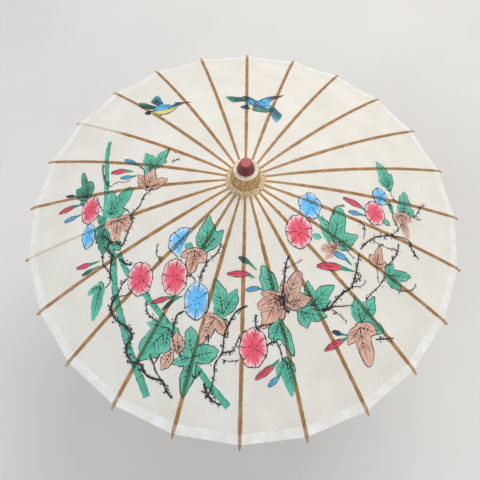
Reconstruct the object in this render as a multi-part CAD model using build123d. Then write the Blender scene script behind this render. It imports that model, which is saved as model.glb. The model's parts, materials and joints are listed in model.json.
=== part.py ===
from build123d import *
import math
import os

# Oil paper umbrella (parasol): a turned stick with a slotted head, folding bamboo
# ribs and stretchers, and a paper canopy glued over the ribs.
# Millimetres. +Z runs up the stick, the origin is the centre of the grip's lower end,
# and the umbrella is modelled open. One rib points along -Y.

# --- driving dimensions ---------------------------------------------------------
RIBS = 24
RIB_TIP_R = 300.0          # axis to the tip of a rib, open
CANOPY_R = 294.0           # axis to the paper's edge at a rib
CANOPY_DROP = 91.2         # how far a rib tip lies below the apex of the rib surface
DROP_LINEAR = 0.383        # share of that drop which is a straight cone
HEAD_PIVOT_Z = 410.0       # height of the ribs' pivot circle
HEAD_PIVOT_R = 14.5
HEAD_R = 17.5
HEAD_ABOVE_PAPER = 22.0
SHAFT_R = 6.0
RUNNER_DROP = 80.0         # runner pivot circle below the head's, open
RUNNER_PIVOT_R = 11.5
RUNNER_FLANGE_HALF = 4.5
KNEE_R = 128.0             # axis to the rib and stretcher pivot, open
GRIP_R = 9.0
GRIP_LENGTH = 100.0

# --- ribs -----------------------------------------------------------------------
RIB_DEPTH = 2.2
RIB_WIDTH = 4.6
RIB_ROOT_WIDTH = 3.4
RIB_EYE_WIDTH = 1.6
RIB_TIP_WIDTH = 2.6
WIRE_R = 0.5               # tie wires and the ribs' pivot pins
RIB_EYE_R = 0.6
KNEE_EYE_R = 0.56
KNEE_SLOT_WIDTH = 2.6
KNEE_SLOT_IN = 5.0         # slot length from the pivot towards the head
KNEE_SLOT_OUT = 17.0       # and towards the tip

# --- stretchers -----------------------------------------------------------------
STRETCHER_WIDTH = 2.2
STRETCHER_DEPTH = 3.0
STRETCHER_EYE_DEPTH = 2.4
STRETCHER_EYE_WIDTH = 1.2
STRETCHER_THIN = 14.0      # length of the thin end that works in the runner's slot
STRETCHER_NECK = 7.0         # length of the deeper eye end
STRETCHER_TAPER = 8.0

# --- fits -----------------------------------------------------------------------
GLUE_GAP = 0.02            # radial, between pieces that are glued
RUNNING_GAP = 0.1          # radial, runner on shaft
PAPER_GAP = 0.7            # paper above the ribs
PAPER_THICKNESS = 0.5
HEM_THICKNESS = 0.3
HEM_WIDTH = 11.0

FIRST_AZIMUTH = -90.0
STEP_AZIMUTH = -360.0 / RIBS


def rib_drop(r):
    """How far the top of the rib surface lies below its apex at radius r."""
    share = r / RIB_TIP_R
    return CANOPY_DROP * (DROP_LINEAR * share + (1 - DROP_LINEAR) * share**2)


def rib_slope(r):
    return CANOPY_DROP / RIB_TIP_R * (DROP_LINEAR + 2 * (1 - DROP_LINEAR) * r / RIB_TIP_R)


APEX_Z = HEAD_PIVOT_Z + RIB_DEPTH / 2 + rib_drop(HEAD_PIVOT_R)


def surface_z(r):
    return APEX_Z - rib_drop(r)


HEAD_PIVOT = Vector(HEAD_PIVOT_R, 0, HEAD_PIVOT_Z)
KNEE = Vector(KNEE_R, 0, surface_z(KNEE_R) - RIB_DEPTH / 2)
RUNNER_Z = HEAD_PIVOT_Z - RUNNER_DROP
RUNNER_PIVOT = Vector(RUNNER_PIVOT_R, 0, RUNNER_Z)
PAPER_Z_AT_HEAD = surface_z(HEAD_R) + PAPER_GAP + PAPER_THICKNESS
HEAD_TOP = PAPER_Z_AT_HEAD + HEAD_ABOVE_PAPER
HEAD_BOTTOM = HEAD_PIVOT_Z - 7.0


def cross_pin(radius, length, at):
    """A cylinder along Y, centred at a point."""
    return Pos(at.X, at.Y, at.Z) * Rot(90, 0, 0) * Cylinder(radius, length)


def turned(points):
    """A solid of revolution about Z from (r, z) points."""
    return revolve(make_face(Plane.XZ * Polyline(*points, close=True)), Axis.Z)


def around(index, solid):
    return Rot(0, 0, FIRST_AZIMUTH + index * STEP_AZIMUTH) * solid


# --- rib: a bowed bamboo slat with an eye, a knee slot and a pointed tip -----------
def rib_side():
    """The rib's shape seen from the side: two parallel parabolas and a round eye end."""
    r0, r1 = HEAD_PIVOT_R, RIB_TIP_R
    middle = (r0 + r1) / 2
    middle_z = surface_z(r0) - rib_slope(r0) * (middle - r0)
    top = Bezier((r0, surface_z(r0)), (middle, middle_z), (r1, surface_z(r1)))
    low = Bezier(
        (r1, surface_z(r1) - RIB_DEPTH),
        (middle, middle_z - RIB_DEPTH),
        (r0, surface_z(r0) - RIB_DEPTH),
    )
    tip = Line((r1, surface_z(r1)), (r1, surface_z(r1) - RIB_DEPTH))
    eye = ThreePointArc(
        (r0, surface_z(r0) - RIB_DEPTH),
        (r0 - RIB_DEPTH / 2, HEAD_PIVOT_Z),
        (r0, surface_z(r0)),
    )
    return Plane.XZ * make_face([top, tip, low, eye])


def rib_plan():
    """The rib's outline seen from above."""
    half = [
        (HEAD_PIVOT_R - 2, RIB_EYE_WIDTH / 2),
        (23.5, RIB_EYE_WIDTH / 2),
        (27.0, RIB_ROOT_WIDTH / 2),
        (55.0, RIB_WIDTH / 2),
        (CANOPY_R - 1, RIB_WIDTH / 2),
        (RIB_TIP_R - 3, RIB_TIP_WIDTH / 2),
        (RIB_TIP_R + 1, RIB_TIP_WIDTH / 4),
    ]
    mirrored = [(r, -w) for r, w in reversed(half)]
    return make_face(Polyline(*half, *mirrored, close=True))


def make_rib():
    side = extrude(rib_side(), RIB_WIDTH, both=True)
    plan = extrude(rib_plan(), RIB_TIP_R * 2)
    rib = side & plan
    rib -= cross_pin(RIB_EYE_R, RIB_WIDTH, HEAD_PIVOT)
    slot_length = KNEE_SLOT_IN + KNEE_SLOT_OUT
    slot_middle = KNEE_R + (KNEE_SLOT_OUT - KNEE_SLOT_IN) / 2
    rib -= Pos(slot_middle, 0, KNEE.Z) * Box(slot_length, KNEE_SLOT_WIDTH, 30)
    rib -= cross_pin(WIRE_R, RIB_WIDTH + 1, KNEE)
    pin = cross_pin(WIRE_R, RIB_WIDTH - 0.4, KNEE)
    return rib.solids()[0], pin


# --- stretcher: a straight slat from the knee to the runner -------------------------
def make_stretcher():
    reach = RUNNER_PIVOT - KNEE
    length = reach.length
    bar = Box(length, STRETCHER_WIDTH, STRETCHER_DEPTH)
    for x in (-length / 2, length / 2):
        bar -= Pos(x, 0, 0) * Box(2 * STRETCHER_NECK, 2 * STRETCHER_WIDTH, 2 * STRETCHER_DEPTH)
        eye_end = Pos(x, 0, 0) * Rot(90, 0, 0) * Cylinder(STRETCHER_EYE_DEPTH / 2, STRETCHER_WIDTH)
        bar += eye_end
        inward = -1 if x > 0 else 1
        neck = make_face(
            Plane.XZ
            * Polyline(
                (x, STRETCHER_EYE_DEPTH / 2),
                (x + inward * STRETCHER_NECK, STRETCHER_DEPTH / 2),
                (x + inward * STRETCHER_NECK, -STRETCHER_DEPTH / 2),
                (x, -STRETCHER_EYE_DEPTH / 2),
                close=True,
            )
        )
        bar += extrude(neck, STRETCHER_WIDTH / 2, both=True)
    thin = STRETCHER_EYE_WIDTH / 2
    full = STRETCHER_WIDTH / 2
    x = length / 2
    for side in (-1, 1):
        cheek = make_face(
            Polyline(
                (x + 3, side * thin),
                (x - STRETCHER_THIN, side * thin),
                (x - STRETCHER_THIN - STRETCHER_TAPER, side * full),
                (x - STRETCHER_THIN - STRETCHER_TAPER, side * (full + 1)),
                (x + 3, side * (full + 1)),
                close=True,
            )
        )
        bar -= extrude(cheek, 4, both=True)
    bar -= cross_pin(KNEE_EYE_R, 6, Vector(-x, 0, 0))
    bar -= cross_pin(RIB_EYE_R, 6, Vector(x, 0, 0))
    middle = (KNEE + RUNNER_PIVOT) * 0.5
    tilt = math.degrees(math.atan2(-reach.Z, reach.X))
    return (Pos(middle.X, 0, middle.Z) * Rot(0, tilt, 0) * bar).solids()[0]


# --- stick ------------------------------------------------------------------------
SHAFT_BOTTOM = 22.0
SHAFT_TOP = HEAD_PIVOT_Z + 5.0
CATCH_PIVOT_Z = 261.0
CATCH_TOP = 293.0
CATCH_WIDTH = 2.0
CATCH_SLOT_WIDTH = 2.4
CATCH_PIN_R = 0.7
CATCH_PIN_X = 1.2
STOP_PIN_R = 1.0
STOP_PIN_LENGTH = 16.0
STOP_PIN_Z = RUNNER_Z + RUNNER_FLANGE_HALF + 0.3 + STOP_PIN_R
FINIAL_DOWEL_R = 3.5
FINIAL_DOWEL_LENGTH = 7.0


def make_shaft():
    shaft = Pos(0, 0, (SHAFT_BOTTOM + SHAFT_TOP) / 2) * Cylinder(SHAFT_R, SHAFT_TOP - SHAFT_BOTTOM)
    slot_low = CATCH_PIVOT_Z - 3
    slot_high = CATCH_TOP + 2
    depth = SHAFT_R + 3.6
    slot = Pos(SHAFT_R - depth / 2 + 0.5, 0, (slot_low + slot_high) / 2)
    shaft -= slot * Box(depth + 1, CATCH_SLOT_WIDTH, slot_high - slot_low)
    shaft -= cross_pin(STOP_PIN_R + GLUE_GAP, 3 * SHAFT_R, Vector(0, 0, STOP_PIN_Z))
    pivot = cross_pin(CATCH_PIN_R, 2 * SHAFT_R - 2, Vector(CATCH_PIN_X, 0, CATCH_PIVOT_Z))
    shaft -= pivot
    return shaft.solids()[0], pivot


def make_catch():
    """A spring leaf: hinged low in the shaft's slot, its nose stands out under the runner."""
    outline = [
        (CATCH_PIN_X - 1.5, CATCH_PIVOT_Z - 1.5),
        (CATCH_PIN_X + 1.5, CATCH_PIVOT_Z - 1.5),
        (4.0, CATCH_TOP - 20),
        (9.2, CATCH_TOP - 2),
        (9.2, CATCH_TOP),
        (0.4, CATCH_TOP),
        (CATCH_PIN_X - 1.5, CATCH_TOP - 12),
    ]
    leaf = extrude(make_face(Plane.XZ * Polyline(*outline, close=True)), CATCH_WIDTH / 2, both=True)
    leaf -= cross_pin(CATCH_PIN_R + 0.06, 6, Vector(CATCH_PIN_X, 0, CATCH_PIVOT_Z))
    return leaf.solids()[0]


def make_stop_pin():
    return cross_pin(STOP_PIN_R, STOP_PIN_LENGTH, Vector(0, 0, STOP_PIN_Z))


def make_grip():
    """A turned handle, plain along the hand, with a ring and a shoulder at the top."""
    bore = SHAFT_R + GLUE_GAP
    grip = turned(
        [
            (0, 0),
            (GRIP_R, 0),
            (GRIP_R, GRIP_LENGTH - 8),
            (GRIP_R + 1.5, GRIP_LENGTH - 6.5),
            (GRIP_R + 1.5, GRIP_LENGTH - 4.5),
            (GRIP_R, GRIP_LENGTH - 3),
            (SHAFT_R + 1, GRIP_LENGTH),
            (bore, GRIP_LENGTH),
            (bore, SHAFT_BOTTOM),
            (0, SHAFT_BOTTOM),
        ]
    )
    return grip


# --- head, its tie and the finial ---------------------------------------------------
HEAD_SLOT_WIDTH = 1.8
HEAD_SLOT_INNER_R = 12.0
HEAD_SLOT_TOP = HEAD_PIVOT_Z + 1.8
TIE_GAP = 0.05


def slots(inner_r, outer_r, width, z_low, z_high):
    """Radial saw cuts, one in line with each rib."""
    cut = Pos((inner_r + outer_r) / 2, 0, (z_low + z_high) / 2)
    cut = cut * Box(outer_r - inner_r, width, z_high - z_low)
    return [around(i, cut) for i in range(RIBS)]


def ring(major, minor, z):
    return Pos(0, 0, z) * Torus(major, minor)


def make_head():
    bore = SHAFT_R + GLUE_GAP
    dowel = FINIAL_DOWEL_R + GLUE_GAP
    head = turned(
        [
            (bore, HEAD_BOTTOM),
            (HEAD_R - 0.8, HEAD_BOTTOM),
            (HEAD_R, HEAD_BOTTOM + 0.8),
            (HEAD_R, HEAD_TOP - 8),
            (HEAD_R - 0.6, HEAD_TOP - 4),
            (HEAD_R - 2.0, HEAD_TOP),
            (dowel, HEAD_TOP),
            (dowel, HEAD_TOP - FINIAL_DOWEL_LENGTH),
            (0, HEAD_TOP - FINIAL_DOWEL_LENGTH),
            (0, SHAFT_TOP),
            (bore, SHAFT_TOP),
        ]
    )
    head -= slots(HEAD_SLOT_INNER_R, HEAD_R + 2, HEAD_SLOT_WIDTH, HEAD_BOTTOM - 1, HEAD_SLOT_TOP)
    head -= ring(HEAD_PIVOT_R, WIRE_R + TIE_GAP, HEAD_PIVOT_Z)
    return head.solids()[0]


COLLAR_R = 15.0
COLLAR_THICKNESS = 2.0
FINIAL_BASE_R = 10.7
FINIAL_TOP_R = 6.7
FINIAL_HEIGHT = 14.0


def make_collar():
    disc = turned(
        [
            (FINIAL_DOWEL_R + GLUE_GAP, HEAD_TOP),
            (COLLAR_R, HEAD_TOP),
            (COLLAR_R, HEAD_TOP + COLLAR_THICKNESS - 0.8),
            (COLLAR_R - 0.8, HEAD_TOP + COLLAR_THICKNESS),
            (FINIAL_DOWEL_R + GLUE_GAP, HEAD_TOP + COLLAR_THICKNESS),
        ]
    )
    return disc


def make_finial():
    """A cone with a flat, slightly domed top, on a dowel that goes down into the head."""
    base = HEAD_TOP + COLLAR_THICKNESS
    top = base + FINIAL_HEIGHT
    return turned(
        [
            (0, HEAD_TOP - FINIAL_DOWEL_LENGTH + 0.2),
            (FINIAL_DOWEL_R, HEAD_TOP - FINIAL_DOWEL_LENGTH + 0.2),
            (FINIAL_DOWEL_R, base),
            (FINIAL_BASE_R, base),
            (FINIAL_BASE_R, base + 1.0),
            (FINIAL_TOP_R + 0.3, top - 1.2),
            (FINIAL_TOP_R - 0.6, top - 0.2),
            (0, top),
        ]
    )


# --- runner -------------------------------------------------------------------------
RUNNER_FLANGE_R = 13.4
RUNNER_NECK_R = 9.2
RUNNER_FOOT_R = 10.6
RUNNER_BOTTOM = RUNNER_Z - 36.0
RUNNER_SLOT_WIDTH = 1.5
RUNNER_SLOT_INNER_R = 9.6


def make_runner():
    bore = SHAFT_R + RUNNING_GAP
    body = turned(
        [
            (bore, RUNNER_BOTTOM),
            (RUNNER_FOOT_R - 0.6, RUNNER_BOTTOM),
            (RUNNER_FOOT_R, RUNNER_BOTTOM + 0.6),
            (RUNNER_FOOT_R, RUNNER_BOTTOM + 5),
            (RUNNER_NECK_R, RUNNER_BOTTOM + 7),
            (RUNNER_NECK_R, RUNNER_Z - RUNNER_FLANGE_HALF),
            (RUNNER_FLANGE_R, RUNNER_Z - RUNNER_FLANGE_HALF),
            (RUNNER_FLANGE_R, RUNNER_Z + RUNNER_FLANGE_HALF),
            (bore, RUNNER_Z + RUNNER_FLANGE_HALF),
        ]
    )
    body -= slots(
        RUNNER_SLOT_INNER_R,
        RUNNER_FLANGE_R + 2,
        RUNNER_SLOT_WIDTH,
        RUNNER_Z - RUNNER_FLANGE_HALF - 1,
        RUNNER_Z + RUNNER_FLANGE_HALF + 1,
    )
    body -= ring(RUNNER_PIVOT_R, WIRE_R + TIE_GAP, RUNNER_Z)
    return body.solids()[0]


# --- paper ---------------------------------------------------------------------------
def facet_shell(r_inner, r_outer, z_offset, thickness, count):
    """A closed shell of flat facets from rib to rib, r_inner to r_outer at the ribs."""
    radii = [r_inner + (r_outer - r_inner) * k / count for k in range(count + 1)]

    def stack(offset):
        rings = [
            Pos(0, 0, surface_z(r) + offset)
            * Rot(0, 0, FIRST_AZIMUTH)
            * RegularPolygon(r, RIBS, major_radius=True)
            for r in radii
        ]
        floor_z = surface_z(r_outer) + z_offset - CANOPY_DROP
        bottom = Pos(0, 0, floor_z) * Rot(0, 0, FIRST_AZIMUTH) * RegularPolygon(r_outer, RIBS)
        return loft([bottom] + rings[::-1], ruled=True)

    shell = stack(z_offset + thickness) - stack(z_offset)
    hole = Pos(0, 0, APEX_Z) * Rot(0, 0, FIRST_AZIMUTH)
    hole = hole * extrude(RegularPolygon(r_inner + 0.01, RIBS), CANOPY_DROP * 2, both=True)
    return (shell - hole).solids()[0]


def make_canopy():
    return facet_shell(HEAD_R + 0.4, CANOPY_R, PAPER_GAP, PAPER_THICKNESS, 9)


def make_hem():
    inner = CANOPY_R - HEM_WIDTH
    offset = PAPER_GAP + PAPER_THICKNESS + 0.1
    return facet_shell(inner, CANOPY_R, offset, HEM_THICKNESS, 1)


# --- write each piece -----------------------------------------------------------------
def save(name, *solids):
    shape = solids[0] if len(solids) == 1 else Compound(list(solids))
    export_step(shape, f"parts/{name}.step")


os.makedirs("parts", exist_ok=True)
rib, rib_pin = make_rib()
stretcher = make_stretcher()
for index in range(RIBS):
    number = f"{index + 1:02d}"
    save(f"rib_{number}", around(index, rib), around(index, rib_pin))
    save(f"stretcher_{number}", around(index, stretcher))

save("shaft", *make_shaft())
save("grip", make_grip())
save("head", make_head())
save("head_tie", ring(HEAD_PIVOT_R, WIRE_R, HEAD_PIVOT_Z))
save("finial", make_finial())
save("finial_collar", make_collar())
save("runner", make_runner())
save("runner_tie", ring(RUNNER_PIVOT_R, WIRE_R, RUNNER_Z))
save("catch", make_catch())
save("stop_pin", make_stop_pin())
save("canopy", make_canopy())
save("hem", make_hem())
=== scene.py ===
import bpy
import bmesh
import json
import math
import random
from mathutils import Matrix, Vector, noise


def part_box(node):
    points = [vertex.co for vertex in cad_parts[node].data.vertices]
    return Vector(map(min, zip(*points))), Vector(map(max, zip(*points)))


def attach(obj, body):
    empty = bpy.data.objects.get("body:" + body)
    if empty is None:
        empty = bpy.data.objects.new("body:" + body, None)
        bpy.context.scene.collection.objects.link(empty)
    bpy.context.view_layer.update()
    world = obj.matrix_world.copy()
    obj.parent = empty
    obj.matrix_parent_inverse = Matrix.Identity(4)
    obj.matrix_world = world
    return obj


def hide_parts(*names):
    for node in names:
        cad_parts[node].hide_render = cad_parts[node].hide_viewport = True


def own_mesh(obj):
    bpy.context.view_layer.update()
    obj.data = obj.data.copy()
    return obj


# Oil paper umbrella, shown open on its stick. Lengths below are millimetres unless a
# name ends in _M. The painting is laid out in plan: x to the right, y away from the
# camera, measured from the stick's axis on the open canopy.

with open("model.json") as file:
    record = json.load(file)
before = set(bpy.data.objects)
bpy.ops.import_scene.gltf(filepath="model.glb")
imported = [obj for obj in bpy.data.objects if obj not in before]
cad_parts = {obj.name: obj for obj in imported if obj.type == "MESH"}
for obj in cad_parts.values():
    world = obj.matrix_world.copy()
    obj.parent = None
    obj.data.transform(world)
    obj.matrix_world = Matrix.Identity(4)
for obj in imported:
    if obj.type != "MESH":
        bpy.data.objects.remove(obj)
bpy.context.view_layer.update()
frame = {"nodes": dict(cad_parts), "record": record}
MM = 0.001

# --- the canopy's driving dimensions, as in the CAD model --------------------------
RIBS = 24
GORE = 360.0 / RIBS
FIRST_AZIMUTH = -90.0
RIB_TIP_R = 300.0
CANOPY_R = 294.0
CANOPY_DROP = 91.2
DROP_LINEAR = 0.383
RIB_DEPTH = 2.2
HEAD_PIVOT_R = 14.5
HEAD_R = 17.5
HEM_WIDTH = 11.0

JOINTS = {joint["name"]: joint for joint in frame["record"]["behaviour"]["joints"]}
HEAD_PIVOT_Z = JOINTS["rib_01_fold"]["pos_m"][2] / MM

PAPER_LIFT = 0.75          # top of the paper above the ribs
PAPER_THICKNESS = 0.3
STRIP_HALF = 2.7           # half width of the paper that is glued down on a rib
STRIP_LIFT = 0.12
HEM_LIFT = 0.22
PAPER_SAG = 2.2            # how far the paper dips midway between two rib tips
PALE_RIB_SPOTS = ((-2.25, 1.30), (-2.42, -0.65))   # plan, in units of 100 mm


def rib_drop(r):
    share = r / RIB_TIP_R
    return CANOPY_DROP * (DROP_LINEAR * share + (1 - DROP_LINEAR) * share**2)


APEX_Z = HEAD_PIVOT_Z + RIB_DEPTH / 2 + rib_drop(HEAD_PIVOT_R)


def sector(x, y):
    """(nearest rib, angle in degrees from that rib) of a point in plan."""
    turn = (FIRST_AZIMUTH - math.degrees(math.atan2(y, x))) % 360.0
    rib = round(turn / GORE)
    return rib % RIBS, rib * GORE - turn


def cockle(x, y):
    """The paper's slight waviness, so that paper and paint dip together."""
    fade = min(1.0, math.hypot(x, y) / 80.0)
    return 0.16 * fade * noise.noise(Vector((x, y, 0.0)) * 0.035)


def canopy_point(x, y, lift=0.0):
    """Plan millimetres to a point on the paper in metres."""
    radius = math.hypot(x, y)
    off = math.radians(GORE / 2 - abs(sector(x, y)[1]))
    edge = math.radians(GORE / 2)
    ridge = radius * math.cos(off) / math.cos(edge)
    dip = PAPER_SAG * (ridge / RIB_TIP_R) ** 2 * (1 - (math.tan(off) / math.tan(edge)) ** 2)
    z = APEX_Z - rib_drop(ridge) + PAPER_LIFT - dip + cockle(x, y) + lift
    return Vector((x, y, z)) * MM


def azimuth_of(rib):
    return math.radians(FIRST_AZIMUTH - rib * GORE)


def rib_uv(x, y, rib):
    """(offset across a rib, distance along it) of a plan point, in units of 100 mm."""
    azimuth = azimuth_of(rib)
    along = x * math.cos(azimuth) + y * math.sin(azimuth)
    across = y * math.cos(azimuth) - x * math.sin(azimuth)
    return across / 100.0, along / 100.0


# --- small node-tree helper ---------------------------------------------------------
class Nodes:
    """Builds a material: n(type, inputs..., settings...) returns the node."""

    def __init__(self, name):
        self.material = bpy.data.materials.new(name)
        self.material.use_nodes = True
        self.tree = self.material.node_tree
        self.tree.nodes.clear()
        self.out = self.tree.nodes.new("ShaderNodeOutputMaterial")

    def __call__(self, kind, inputs=None, **settings):
        node = self.tree.nodes.new("ShaderNode" + kind)
        for key, value in settings.items():
            setattr(node, key, value)
        for key, value in (inputs or {}).items():
            socket = node.inputs[key]
            if hasattr(value, "links"):
                self.tree.links.new(value, socket)
            else:
                socket.default_value = value
        return node

    def maths(self, operation, a, b=0.0, c=0.0, clamp=False):
        node = self("Math", {0: a, 1: b, 2: c}, operation=operation, use_clamp=clamp)
        return node.outputs[0]

    def times(self, a, b):
        return self.maths("MULTIPLY", a, b)

    def plus(self, a, b):
        return self.maths("ADD", a, b)

    def scale(self, a, factor, offset, clamp=False):
        return self.maths("MULTIPLY_ADD", a, factor, offset, clamp)

    def inverse(self, a):
        return self.maths("SUBTRACT", 1.0, a)

    def mix(self, factor, a, b, blend="MIX"):
        node = self("Mix", {"Factor": factor, 6: a, 7: b}, data_type="RGBA", blend_type=blend)
        return node.outputs[2]

    def tint(self, base, mask, strength, colour):
        """The base with some of a colour laid over it where the mask is 1."""
        return self.mix(self.times(mask, strength), base, colour)

    def ramp(self, value, *stops):
        node = self("ValToRGB", {"Fac": value})
        band = node.color_ramp
        while len(band.elements) < len(stops):
            band.elements.new(0.5)
        for element, (place, colour) in zip(band.elements, stops):
            element.position = place
            element.color = colour
        return node.outputs["Color"]

    def smooth(self, value, low, high):
        node = self("MapRange", {0: value, 1: low, 2: high}, interpolation_type="SMOOTHSTEP")
        return node.outputs[0]

    def uv(self, name, scale=(1, 1, 1)):
        source = self("UVMap", uv_map=name).outputs[0]
        return self("Mapping", {"Vector": source, "Scale": scale}).outputs[0]

    def place(self, scale=(1, 1, 1)):
        source = self("TexCoord").outputs["Object"]
        return self("Mapping", {"Vector": source, "Scale": scale}).outputs[0]

    def noise(self, vector, scale, detail=3.0, roughness=0.55):
        inputs = {"Vector": vector, "Scale": scale, "Detail": detail, "Roughness": roughness}
        return self("TexNoise", inputs).outputs[0]

    def bump(self, height, strength, distance):
        inputs = {"Height": height, "Strength": strength, "Distance": distance}
        return self("Bump", inputs).outputs[0]

    def finish(self, **sockets):
        names = {key.replace("_", " "): value for key, value in sockets.items()}
        shader = self("BsdfPrincipled", names)
        self.tree.links.new(shader.outputs[0], self.out.inputs[0])
        return self.material


def srgb(r, g, b):
    """A colour picked as 0-255 display values, as linear light."""

    def linear(value):
        value /= 255.0
        return value / 12.92 if value <= 0.04045 else ((value + 0.055) / 1.055) ** 2.4

    return (linear(r), linear(g), linear(b), 1.0)


# --- materials ------------------------------------------------------------------------
def rib_shadow(n):
    """0 away from a rib to 1 over it, with the ragged edge of soaked glue."""
    rib = n("SeparateXYZ", {0: n("UVMap", uv_map="rib").outputs[0]})
    across = n.maths("ABSOLUTE", rib.outputs[0])
    along = rib.outputs[1]
    plan = n.uv("plan")
    ragged = n.noise(plan, 26.0, 4.0, 0.7)
    swell = n.noise(plan, 5.0, 3.0, 0.6)
    blob = n.smooth(n.noise(plan, 9.0, 3.0, 0.6), 0.64, 0.74)
    wobble = n.scale(ragged, 0.016, -0.008)
    wobble = n.plus(wobble, n.scale(swell, 0.014, -0.007))
    reach = n.scale(n.smooth(along, 0.15, 1.1), 0.0085, 0.0135)
    reach = n.plus(n.plus(reach, wobble), n.times(blob, 0.012))
    # two ribs whose paper lifted and left a paler, thinner line
    faint = 1.0
    for x, y in PALE_RIB_SPOTS:
        away = n("VectorMath", {0: plan, 1: (x, y, 0)}, operation="DISTANCE").outputs[1]
        faint = n.times(n.smooth(away, 0.30, 0.75), faint)
    reach = n.maths("SUBTRACT", reach, n.scale(faint, -0.009, 0.009))
    inside = n.maths("SUBTRACT", reach, across)
    mask = n.smooth(inside, -0.0025, 0.0025)
    mask = n.times(mask, n.scale(faint, 0.62, 0.38))
    return mask, along, across, inside


def rib_colour(n, along, inside):
    """Bamboo seen through soaked paper: darker outlines, pale middles, brown flecks."""
    streak = n.noise(n.uv("rib", (130, 5.0, 1)), 1.0, 4.0, 0.7)
    patch = n.noise(n.uv("rib", (6, 6, 1)), 1.0, 3.0)
    fleck = n.smooth(n.noise(n.uv("plan"), 30.0, 3.0, 0.7), 0.56, 0.70)
    rib = n.ramp(
        streak,
        (0.28, srgb(112, 74, 34)),
        (0.5, srgb(152, 106, 56)),
        (0.74, srgb(182, 136, 82)),
    )
    rib = n.tint(rib, n.smooth(patch, 0.46, 0.70), 0.5, srgb(198, 158, 104))
    border = n.inverse(n.smooth(inside, 0.001, 0.008))
    rib = n.tint(rib, border, 0.5, srgb(122, 82, 40))
    rib = n.tint(rib, fleck, 0.45, srgb(104, 68, 34))
    return n.tint(rib, n.smooth(along, 0.7, 0.35), 0.3, srgb(190, 150, 92))


def paper_material():
    n = Nodes("oiled_paper")
    mask, along, across, inside = rib_shadow(n)
    plan = n.uv("plan")
    cloud = n.noise(plan, 2.2, 4.0)
    base = n.ramp(cloud, (0.3, srgb(218, 213, 201)), (0.7, srgb(229, 226, 217)))
    pulp = n.noise(plan, 38.0, 3.0, 0.7)
    base = n.mix(n.smooth(pulp, 0.52, 0.72), base, srgb(233, 230, 222))
    fibre = n.noise(n.uv("rib", (60, 4, 1)), 1.6, 4.0, 0.6)
    weft = n.noise(n.uv("plan", (8, 110, 1)), 1.0, 3.0, 0.7)
    warp = n.noise(n.uv("plan", (110, 8, 1)), 1.0, 3.0, 0.7)
    threads = n.plus(n.smooth(weft, 0.54, 0.7), n.smooth(warp, 0.54, 0.7))
    weave = n.times(threads, 0.20)
    base = n.mix(weave, base, srgb(196, 190, 176))
    base = n.tint(base, n.smooth(fibre, 0.56, 0.72), 0.25, srgb(203, 197, 182))
    # golden glue and bright crowded paper round the head
    near = n.inverse(n.smooth(along, 0.22, 0.52))
    ray = n.noise(n.uv("rib", (70, 3.5, 1)), 1.0, 3.0, 0.6)
    base = n.tint(base, near, 0.6, srgb(214, 196, 160))
    base = n.mix(n.times(near, n.smooth(ray, 0.38, 0.54)), base, srgb(253, 250, 242))
    colour = n.mix(mask, base, rib_colour(n, along, inside))
    rim = n.inverse(n.smooth(n.maths("ABSOLUTE", inside), 0.002, 0.011))
    rim = n.times(rim, n.inverse(mask))
    colour = n.tint(colour, rim, 0.45, srgb(206, 178, 132))
    close = n.inverse(n.smooth(along, 0.19, 0.34))
    glue = n.smooth(n.noise(plan, 22.0, 4.0, 0.7), 0.48, 0.62)
    colour = n.tint(colour, n.times(close, glue), 0.85, srgb(176, 128, 66))
    dark = n.smooth(n.noise(plan, 34.0, 4.0, 0.7), 0.56, 0.66)
    colour = n.tint(colour, n.times(close, dark), 0.7, srgb(104, 66, 32))
    height = n.plus(n.times(pulp, 0.35), n.times(mask, 0.8))
    height = n.plus(height, n.plus(n.times(fibre, 0.5), weave))
    crumple = n.noise(plan, 1.7, 5.0, 0.55)
    height = n.plus(height, n.times(crumple, 5.0))
    normal = n.bump(height, 0.6, 0.0004)
    rough = n.scale(mask, -0.14, 0.66)
    return n.finish(Base_Color=colour, Roughness=rough, Normal=normal)


def hem_material():
    n = Nodes("hem_paper")
    mask, along, across, inside = rib_shadow(n)
    plan = n.uv("plan")
    cloud = n.noise(plan, 6.0, 4.0)
    base = n.ramp(cloud, (0.3, srgb(226, 223, 216)), (0.7, srgb(238, 237, 233)))
    worn = n.noise(plan, 7.0, 4.0, 0.6)
    base = n.tint(base, n.smooth(worn, 0.44, 0.60), 0.85, srgb(225, 221, 211))
    weft = n.noise(n.uv("plan", (8, 110, 1)), 1.0, 3.0, 0.7)
    base = n.tint(base, n.smooth(weft, 0.54, 0.7), 0.25, srgb(212, 208, 198))
    veil = n.times(mask, n.scale(cloud, 0.5, 0.6, clamp=True))
    colour = n.mix(veil, base, rib_colour(n, along, inside))
    pulp = n.noise(plan, 40.0, 3.0, 0.7)
    return n.finish(Base_Color=colour, Roughness=0.62, Normal=n.bump(pulp, 0.5, 0.0004))


def neck_material():
    """Gathered paper soaked with golden glue where the canopy meets the head."""
    n = Nodes("neck_paper")
    plan = n.uv("plan")
    ray = n.noise(n.uv("rib", (40, 40, 1)), 1.2, 4.0, 0.7)
    colour = n.ramp(
        ray,
        (0.3, srgb(150, 104, 52)),
        (0.48, srgb(204, 168, 112)),
        (0.62, srgb(244, 232, 204)),
    )
    dark = n.smooth(n.noise(plan, 30.0, 4.0, 0.7), 0.54, 0.66)
    colour = n.tint(colour, dark, 0.75, srgb(100, 62, 30))
    return n.finish(Base_Color=colour, Roughness=0.6, Normal=n.bump(ray, 0.8, 0.0006))


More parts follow.
